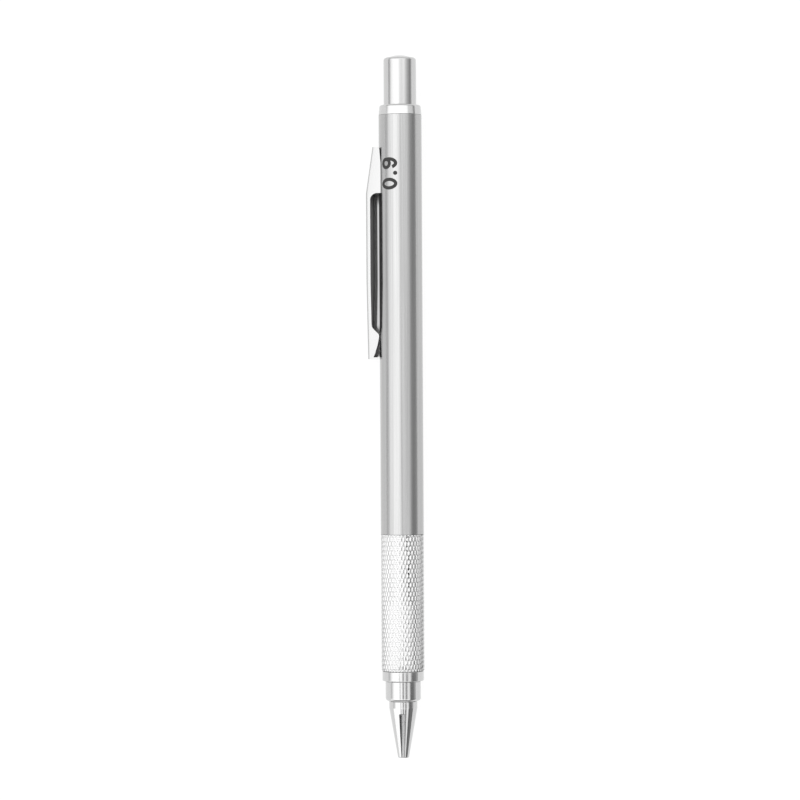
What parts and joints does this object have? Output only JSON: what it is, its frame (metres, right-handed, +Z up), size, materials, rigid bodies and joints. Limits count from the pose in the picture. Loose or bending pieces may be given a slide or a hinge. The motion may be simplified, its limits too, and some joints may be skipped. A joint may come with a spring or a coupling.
{
  "type": "lead holder",
  "caption": "Slim all-metal push-button lead holder with a knurled grip, slotted tapered nose, rocking sheet-metal clip, sprung clutch and an eraser under the button.",
  "frame": {"origin": "centre of the bounding box, on the surface that the holder lies on", "axes": "+Y along the holder from the nose to the push button, +Z up, clip on the -X side and turned down towards the surface"},
  "size_m": [0.0114, 0.142, 0.0087],
  "materials": {
    "barrel_steel": "stainless steel, satin, finely brushed along its length",
    "grip_steel": "bright plated steel with a fine diamond knurl",
    "bright_chrome": "bright chrome plating over turned or pressed metal",
    "turned_brass": "plain turned brass",
    "spring_steel": "drawn or pressed spring steel",
    "black_plastic": "moulded black plastic, semi-matt",
    "black_rubber": "soft black rubber",
    "white_eraser": "matt white vinyl eraser",
    "graphite": "smooth dark graphite lead with a dull sheen"
  },
  "bodies": {
    "barrel": {"barrel_tube": "barrel_steel", "grip_sleeve": "grip_steel", "barrel_bush": "turned_brass", "top_ring": "bright_chrome", "clutch_housing": "black_plastic", "return_spring": "spring_steel", "clip_anchor": "spring_steel", "clip_spring": "spring_steel"},
    "nose": {"nose_collar": "bright_chrome", "nose_cone": "bright_chrome", "lead_guide_sleeve": "bright_chrome", "lead_retainer": "black_rubber"},
    "feed": {"clutch_body": "turned_brass", "lead_tube": "black_plastic", "spare_lead_1": "graphite", "spare_lead_2": "graphite"},
    "ring": {"clutch_ring": "turned_brass"},
    "jaw_1": {"clutch_jaw_1": "turned_brass"},
    "jaw_2": {"clutch_jaw_2": "turned_brass"},
    "jaw_3": {"clutch_jaw_3": "turned_brass"},
    "lead": {"lead_in_use": "graphite"},
    "button": {"push_button": "bright_chrome"},
    "plug": {"eraser_holder": "spring_steel", "eraser": "white_eraser"},
    "clip_arm": {"clip": "bright_chrome", "clip_stud_left": "spring_steel", "clip_stud_right": "spring_steel"}
  },
  "joints": [
    {"name": "button_press", "type": "slide", "parent": "barrel", "child": "feed", "axis": [0, -1, 0], "range_m": [0, 0.0035], "stiffness_N_per_m": 900, "springref_m": -0.0022, "deforming": ["return_spring"]},
    {"name": "ring_follow", "type": "slide", "parent": "barrel", "child": "ring", "axis": [0, -1, 0], "range_m": [0, 0.0014]},
    {"name": "jaw_1_open", "type": "hinge", "parent": "feed", "child": "jaw_1", "pos_m": [0.00128, -0.045, 0.00515], "axis": [-1, 0, 0], "range_deg": [0, 1.2]},
    {"name": "jaw_2_open", "type": "hinge", "parent": "feed", "child": "jaw_2", "pos_m": [0.00059, -0.045, 0.00395], "axis": [0.5, 0, -0.866], "range_deg": [0, 1.2]},
    {"name": "jaw_3_open", "type": "hinge", "parent": "feed", "child": "jaw_3", "pos_m": [0.00198, -0.045, 0.00395], "axis": [0.5, 0, 0.866], "range_deg": [0, 1.2]},
    {"name": "button_pull", "type": "slide", "parent": "feed", "child": "button", "axis": [0, 1, 0], "range_m": [0, 0.02]},
    {"name": "eraser_pull", "type": "slide", "parent": "feed", "child": "plug", "axis": [0, 1, 0], "range_m": [0, 0.007]},
    {"name": "lead_feed", "type": "slide", "parent": "barrel", "child": "lead", "axis": [0, -1, 0], "range_m": [0, 0.006]},
    {"name": "nose_unscrew", "type": "slide", "parent": "barrel", "child": "nose", "axis": [0, -1, 0], "range_m": [0, 0.025]},
    {"name": "clip_rock", "type": "hinge", "parent": "barrel", "child": "clip_arm", "pos_m": [-0.00302, 0.04915, 0.00322], "axis": [0.2542, 0, -0.9672], "range_deg": [0, 5], "stiffness_Nm_per_rad": 0.9, "springref_deg": -1.72, "deforming": ["clip_spring"]}
  ],
  "couplings": [
    {"joint": "ring_follow", "follows": "button_press", "ratio": 0.4},
    {"joint": "jaw_1_open", "follows": "button_press", "rad_per_m": 5.983},
    {"joint": "jaw_2_open", "follows": "button_press", "rad_per_m": 5.983},
    {"joint": "jaw_3_open", "follows": "button_press", "rad_per_m": 5.983},
    {"joint": "eraser_pull", "follows": "button_pull", "ratio": 0.35}
  ]
}
